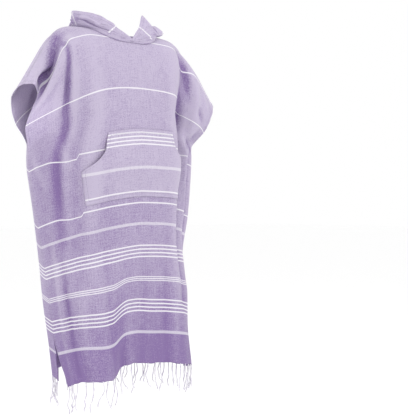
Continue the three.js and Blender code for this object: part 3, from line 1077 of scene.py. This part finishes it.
@dataclass(frozen=True)
class Dent:
    """A short crease of the hood: its place round the neck and up the cloth, its size there and its depth."""

    share: float
    up: float
    wide: float
    high: float
    depth: float
    slant: float = 0.0

    def height(self, share: np.ndarray, v: np.ndarray) -> np.ndarray:
        """How far the crease lifts the cloth.

        Args:
            share: how far round the neck.
            v: how far up.

        Returns:
            The lift at each place, in millimetres.
        """
        across = (share - self.share) / self.wide
        up = (v - self.up - self.slant * (share - self.share)) / self.high
        return self.depth * np.exp(-(across**2) - up**2)


@dataclass
class HoodCloth:
    """One half of the hood, lying back."""

    name: str
    node: str
    lines: tuple[HoodLine, ...]
    sign: int
    dents: tuple[Dent, ...] = ()
    seat: float = 2.0
    around: int = 130
    up: int = 84
    hem: float = 11.0
    thickness: float = 0.0015

    def _place(self, stop: str, share: np.ndarray) -> np.ndarray:
        """Where the lines' crest, low or edge is at a share of the way round."""
        shares = np.array([line.share for line in self.lines])
        rows = np.array([getattr(line, stop) for line in self.lines], float)
        slope, _ = stop_slopes(shares, rows)
        i = np.clip(np.searchsorted(shares, share, side="right") - 1, 0, len(shares) - 2)
        h = (shares[i + 1] - shares[i])[..., None]
        out = hermite((share - shares[i])[..., None] / h, h, rows[i], rows[i + 1], slope[i], slope[i + 1])
        out[..., 0] *= self.sign
        return out

    def surface(self, share: np.ndarray, v: np.ndarray) -> np.ndarray:
        """The hood's points.

        Args:
            share: how far round the neck.
            v: how far up from the neck seam to the face edge.

        Returns:
            Points in millimetres.
        """
        base = neck_seam(share, self.sign) + np.array([0.0, 0.0, self.seat])
        crest, low, edge = (self._place(stop, share) for stop in ("crest", "low", "edge"))
        away = crest - base
        away[..., 2] = 0
        roll = mix(base, crest, 0.5) + away * 0.3
        drop = np.maximum(crest[..., 2:] - low[..., 2:], 0)
        down = mix(crest, low, 0.5) + drop * np.array([0.0, 0.1, 0.05])
        stops = [base, roll, crest, down, low, edge]
        out = through(stops, v)
        e = 0.012
        upward = unit(through(stops, np.clip(v + e, 0, 1)) - through(stops, np.clip(v - e, 0, 1)))
        k = 1.0 if self.sign < 0 else 2.1
        creases = (
            1.6 * np.sin(share * 31 + v * 7 + k) * smooth(v / 0.2)
            + 1.1 * np.sin(share * 57 - v * 11 + 2 * k) * smooth(v / 0.3)
            + 0.8 * np.sin(v * 40 + share * 9 + k)
        ) * smooth((1 - share) / 0.06) * smooth(share / 0.12)
        creases = creases + sum(dent.height(share, v) for dent in self.dents)
        out_dir = unit(np.cross(upward, np.array([0.0, 0.0, 1.0])) + 1e-6)
        return out + out_dir * creases[..., None]

    def painted_shade_depth(self, share: np.ndarray, v: np.ndarray) -> np.ndarray:
        """How deep the dents are, for their painted shade: darker where a dent sinks, lighter where it stands
        out.

        Args:
            share: how far round the neck.
            v: how far up.

        Returns:
            The depth at each place, in millimetres.
        """
        return sum(-1.6 * dent.height(share, v) for dent in self.dents) + 0 * share

    def cut_place(self, share: np.ndarray, v: np.ndarray) -> np.ndarray:
        """The same points' places on the flat cut.

        Args:
            share: how far round the neck.
            v: how far up.

        Returns:
            Places in metres, across the stripes' length first.
        """
        low, high = (np.interp(share, *zip(*stops)) for stops in (HOOD_CUT_LOW, HOOD_CUT_HIGH))
        across = (1 - v) * mix(60, 250, share)
        return np.stack([across, mix(low, high, v)], axis=-1) * MM

    def build(self, material: bpy.types.Material) -> bpy.types.Object:
        """Builds the hood half.

        Args:
            material: the cloth's material.

        Returns:
            The finished piece.
        """
        share = np.linspace(0.0006, 1.0, self.around)
        v = np.linspace(0.0, 1.0, self.up)
        ss, vv = np.meshgrid(share, v)
        points = self.surface(ss, vv)
        points[:, -1, 0] = self.sign * 0.3
        steps = np.linalg.norm(np.diff(points, axis=0), axis=-1)
        length = np.concatenate([np.zeros((1, self.around)), steps]).cumsum(axis=0)
        piece = grid_mesh(self.name, points, self.cut_place(ss, vv), length[-1] - length, self.painted_shade_depth(ss, vv))
        thicken(piece, self.thickness)
        piece.data.materials.append(material)
        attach(piece, "root")
        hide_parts(self.node)
        LOG.info("%s: %d by %d places", self.name, self.around, self.up)
        return piece


RIGHT_DENTS = (
    Dent(0.4, 0.55, 0.09, 0.06, -6.0, 1.2),
    Dent(0.36, 0.7, 0.1, 0.06, 3.0, 1.2),
    Dent(0.27, 0.4, 0.1, 0.05, -5.0, 0.4),
    Dent(0.52, 0.6, 0.03, 0.3, -4.0),
    Dent(0.62, 0.5, 0.05, 0.3, -5.0),
    Dent(0.9, 0.6, 0.03, 0.3, -6.0),
    Dent(0.8, 0.7, 0.03, 0.2, 4.0),
)
LEFT_DENTS = (
    Dent(0.43, 0.75, 0.018, 0.3, -9.0),
    Dent(0.28, 0.45, 0.06, 0.07, -3.0, 0.6),
    Dent(0.55, 0.6, 0.05, 0.2, 3.0),
    Dent(0.7, 0.6, 0.03, 0.3, -5.0),
    Dent(0.9, 0.6, 0.03, 0.3, -6.0),
    Dent(0.82, 0.7, 0.03, 0.2, 4.0),
)


def tube(bm: bmesh.types.BMesh, line: np.ndarray, radius: np.ndarray, sides: int) -> None:
    """Adds a closed tube along a line.

    Args:
        bm: the mesh it is added to.
        line: points in millimetres, top to bottom.
        radius: the tube's radius at each point.
        sides: how many sides it has.
    """
    tangent = unit(np.gradient(line, axis=0))
    first = unit(np.cross(tangent, np.array([0.31, 0.95, 0.05])))
    second = np.cross(tangent, first)
    angle = np.linspace(0, 2 * np.pi, sides, endpoint=False)
    rings = (
        line[:, None]
        + first[:, None] * (np.cos(angle) * radius[:, None])[..., None]
        + second[:, None] * (np.sin(angle) * radius[:, None])[..., None]
    )
    made = [[bm.verts.new(p * MM) for p in ring] for ring in rings]
    for upper, lower in zip(made, made[1:]):
        for i in range(sides):
            j = (i + 1) % sides
            bm.faces.new((upper[i], lower[i], lower[j], upper[j])).smooth = True
    bm.faces.new(made[0])
    bm.faces.new(made[-1][::-1])


@dataclass
class Fringe:
    """The knotted fringe under one hem: two-ply strands with a knot at the hem and one near the end."""

    name: str
    node: str
    drape: Drape
    strands: int = 26
    length: float = 84.0
    ply_radius: float = 1.25
    twist: float = 7.0
    knot_at: float = 10.0
    sides: int = 5
    length_share: tuple[float, float] = (0.84, 1.03)
    swing: tuple[float, float] = (4.0, 14.0)
    wave: tuple[float, float] = (1.0, 3.4)
    wave_turn: tuple[float, float] = (11.0, 19.0)

    def _centre(self, k: int) -> np.ndarray:
        """The centre line of strand k."""
        rng = np.random.default_rng(100 * (2 + self.drape.side.value) + k)
        u = mix(-HALF + 10, HALF - 10, (k + 0.35 * rng.uniform(-1, 1)) / (self.strands - 1))
        u = float(np.clip(u, -HALF + 6, HALF - 6))
        root = self.drape.point(np.array(u), np.array(PANEL_LENGTH - 1.0))
        v = np.linspace(0, 1, 44)
        length = self.length * rng.uniform(*self.length_share)
        phase, swing = rng.uniform(0, 6.28, 2), rng.uniform(*self.swing)
        x = root[0] + swing * v * np.sin(phase[0] + 4.6 * v) - swing * v[0]
        y = root[1] + 0.7 * swing * v * np.cos(phase[1] + 4.0 * v)
        x = x + rng.uniform(*self.wave) * np.sin(phase[1] + rng.uniform(*self.wave_turn) * v) * v
        z = root[2] - length * v
        return np.stack([x, y, z], axis=-1)

    def build(self, material: bpy.types.Material) -> bpy.types.Object:
        """Builds the fringe.

        Args:
            material: the yarn's material.

        Returns:
            The finished piece.
        """
        bm = bmesh.new()
        for k in range(self.strands):
            line = self._centre(k)
            rng = np.random.default_rng(900 + k)
            fallen = line[0, 2] - line[:, 2]
            turn = 2 * np.pi * fallen / self.twist
            for ply in (0.0, np.pi):
                around = np.stack([np.cos(turn + ply), np.sin(turn + ply), np.zeros_like(turn)], axis=-1)
                body = np.full(len(line), self.ply_radius)
                body[-3:] *= np.array([0.9, 0.7, 0.4])
                tube(bm, line + around * self.ply_radius * 0.88, body, self.sides)
            for at, size in ((self.knot_at, 2.5), (float(fallen[-1]) - rng.uniform(9, 15), 2.1)):
                self._knot(bm, line, fallen, at, size)
            for tail in range(3):
                end = line[-5:]
                spread = np.array([math.cos(2.1 * tail + k), math.sin(2.1 * tail + k), 0.0])
                grow = np.linspace(0, 1, len(end))[:, None]
                tube(bm, end + spread * grow * 2.0, np.full(len(end), 0.35), 3)
        bmesh.ops.recalc_face_normals(bm, faces=bm.faces)
        piece = finished(bm, self.name)
        piece.data.materials.append(material)
        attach(piece, "root")
        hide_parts(self.node)
        LOG.info("%s: %d strands", self.name, self.strands)
        return piece

    def _knot(
        self, bm: bmesh.types.BMesh, line: np.ndarray, fallen: np.ndarray, at: float, size: float
    ) -> None:
        """Adds an overhand knot round the strand, as a short thick coil."""
        centre = np.array([np.interp(at, fallen, line[:, a]) for a in range(3)])
        t = np.linspace(0, 1, 15)
        coil = np.stack(
            [
                size * 0.62 * np.cos(4 * np.pi * t),
                size * 0.62 * np.sin(4 * np.pi * t),
                mix(size * 0.9, -size * 0.9, t),
            ],
            axis=-1,
        )
        tube(bm, centre + coil, size * 0.42 * np.sin(np.pi * np.clip(t, 0.08, 0.92)) ** 0.5, 5)


@dataclass
class NeckBand:
    """The turned seam allowance that rolls round the foot of the hood."""

    height: float = 13.0
    depth: float = 4.6
    steps: int = 150
    sides: int = 16
    lift: float = 3.0
    edge_shade_depth: float = 9.0

    def build(self, material: bpy.types.Material) -> bpy.types.Object:
        """Builds the band.

        Args:
            material: the cloth's material.

        Returns:
            The finished piece.
        """
        bm = bmesh.new()
        uv = bm.loops.layers.uv.new("cut")
        painted_shade_depth = bm.verts.layers.float.new("painted_shade_depth")
        for sign in (-1, 1):
            share = np.linspace(0.0006, 1.0, self.steps)
            seam = neck_seam(share, sign)
            outward = seam * np.array([1.0, 1.0, 0.0]) + np.array([0.0, 8.0, 0.0])
            outward = unit(outward)
            taper = np.interp(share, [0, 0.12, 0.45, 0.62, 1.0], [0.3, 1, 1, 0.4, 0.4])
            rise = taper * self.height
            angle = np.linspace(0, 2 * np.pi, self.sides, endpoint=False)
            middle = seam + outward * 1.5
            middle[:, 2] += self.lift * taper + rise * 0.28
            rings = (
                middle[:, None]
                + outward[:, None] * (np.cos(angle)[None, :, None] * taper[:, None, None] * self.depth / 2)
                + np.array([0.0, 0.0, 1.0]) * (np.sin(angle)[None, :, None] * rise[:, None, None] / 2)
            )
            made = [[bm.verts.new(p * MM) for p in ring] for ring in rings]
            for ring in made:
                # Painted shade along the band's top and bottom, where it rolls against the cloth.
                for vert, turn in zip(ring, angle):
                    vert[painted_shade_depth] = self.edge_shade_depth * MM * abs(math.sin(turn)) ** 3
            arc = np.concatenate([[0], np.cumsum(np.linalg.norm(np.diff(seam, axis=0), axis=1))]) * MM
            for n, (a, b) in enumerate(zip(made, made[1:])):
                for i in range(self.sides):
                    j = (i + 1) % self.sides
                    face = bm.faces.new((a[i], b[i], b[j], a[j]))
                    face.smooth = True
                    spots = ((arc[n], i), (arc[n + 1], i), (arc[n + 1], i + 1), (arc[n], i + 1))
                    for loop, (along, ring_at) in zip(face.loops, spots):
                        loop[uv].uv = (along, 0.1 + ring_at * 0.002)
            bm.faces.new(made[0])
            bm.faces.new(made[-1][::-1])
        bmesh.ops.recalc_face_normals(bm, faces=bm.faces)
        piece = finished(bm, "neck_band")
        piece.data.materials.append(material)
        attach(piece, "root")
        LOG.info("neck_band: %d steps a side", self.steps)
        return piece


@dataclass
class Studio:
    """The camera at the photograph's place, soft lights and a pale floor."""

    aim: tuple[float, float, float] = (0.0, 0.0, -0.5)
    distance: float = 2.8
    azimuth: float = 35.0
    yaw: float = 5.44
    pitch: float = -0.217
    focal: float = 79.77
    floor_z: float = -1.42
    lights: tuple[tuple[str, tuple[float, float, float], float, float], ...] = field(
        default=(
            ("key", (1.6, -3.0, 1.5), 1.0, 27.0),
            ("top", (-0.8, -0.6, 2.6), 1.6, 14.0),
            ("sleeve", (-3.0, -0.6, -0.3), 0.8, 6.0),
            ("back", (-1.4, 3.2, 1.4), 1.2, 27.0),
        )
    )

    spot_place: tuple[float, float, float] = (-1.45, -1.9, -1.1)
    spot_aim: tuple[float, float, float] = (-0.325, 0.04, -0.215)
    spot_cone: float = 3.0
    spot_power: float = 380.0
    spot_radius: float = 0.12

    def camera(self) -> bpy.types.Object:
        """Makes the camera.

        Returns:
            The camera.
        """
        data = bpy.data.cameras.new("camera")
        data.lens = self.focal
        data.sensor_width = 36.0
        cam = bpy.data.objects.new("camera", data)
        bpy.context.scene.collection.objects.link(cam)
        a = math.radians(self.azimuth)
        forward = Vector((math.sin(a), math.cos(a), 0.0))
        cam.location = Vector(self.aim) - forward * self.distance
        look = Matrix.Rotation(-math.radians(self.yaw), 3, "Z") @ forward
        look.z = math.tan(math.radians(self.pitch))
        cam.rotation_mode = "QUATERNION"
        cam.rotation_quaternion = look.to_track_quat("-Z", "Y")
        data.clip_start, data.clip_end = 0.05, 60.0
        bpy.context.scene.camera = cam
        return cam

    def _light(
        self, name: str, kind: str, place: tuple[float, ...], aim: tuple[float, ...], power: float
    ) -> bpy.types.Light:
        """Makes a light that points at a place."""
        data = bpy.data.lights.new(name, kind)
        data.energy = power
        lamp = bpy.data.objects.new(name, data)
        bpy.context.scene.collection.objects.link(lamp)
        lamp.location = place
        lamp.rotation_mode = "QUATERNION"
        lamp.rotation_quaternion = (Vector(aim) - Vector(place)).to_track_quat("-Z", "Y")
        return data

    def build(self) -> None:
        """Makes the lights, world and floor."""
        for name, place, size, power in self.lights:
            soft = self._light(name, "AREA", place, self.aim, power)
            soft.shape = "DISK"
            soft.size = size
        spot = self._light("armhole", "SPOT", self.spot_place, self.spot_aim, self.spot_power)
        spot.spot_size = math.radians(self.spot_cone)
        spot.spot_blend = 1.0
        spot.shadow_soft_size = self.spot_radius
        world = bpy.data.worlds.new("studio")
        world.use_nodes = True
        world.node_tree.nodes["Background"].inputs["Color"].default_value = (1.0, 1.0, 1.0, 1.0)
        world.node_tree.nodes["Background"].inputs["Strength"].default_value = 1.0
        bpy.context.scene.world = world
        bpy.context.scene.view_settings.view_transform = "Standard"
        bm = bmesh.new()
        bmesh.ops.create_grid(bm, x_segments=1, y_segments=1, size=30.0)
        floor = finished(bm, "floor")
        floor.data.transform(Matrix.Translation((0.0, 0.0, self.floor_z)))
        floor.data.materials.append(PaperFinish().build())
        LOG.info("studio: %d lights", len(self.lights))


def main() -> None:
    """Builds every piece in order."""
    logging.basicConfig(level=logging.INFO, format="%(message)s")
    studio = Studio()
    studio.camera()
    panel = ClothFinish(Stripes.PANEL).build()
    pocket = ClothFinish(Stripes.POCKET).build()
    hood = ClothFinish(Stripes.HOOD).build()
    yarn = YarnFinish("fringe_yarn").build()
    PanelCloth("front_cloth", FRONT, "front_panel").build(panel)
    PanelCloth("back_cloth", BACK, "back_panel").build(panel)
    PocketCloth().build(pocket)
    HoodCloth("hood_right_cloth", "hood_right", RIGHT_LINES, -1, RIGHT_DENTS).build(hood)
    HoodCloth("hood_left_cloth", "hood_left", LEFT_LINES, 1, LEFT_DENTS).build(hood)
    NeckBand().build(hood)
    Fringe("front_fringe_yarn", "front_fringe", FRONT).build(yarn)
    Fringe("back_fringe_yarn", "back_fringe", BACK).build(yarn)
    studio.build()


if __name__ == "__main__":
    main()
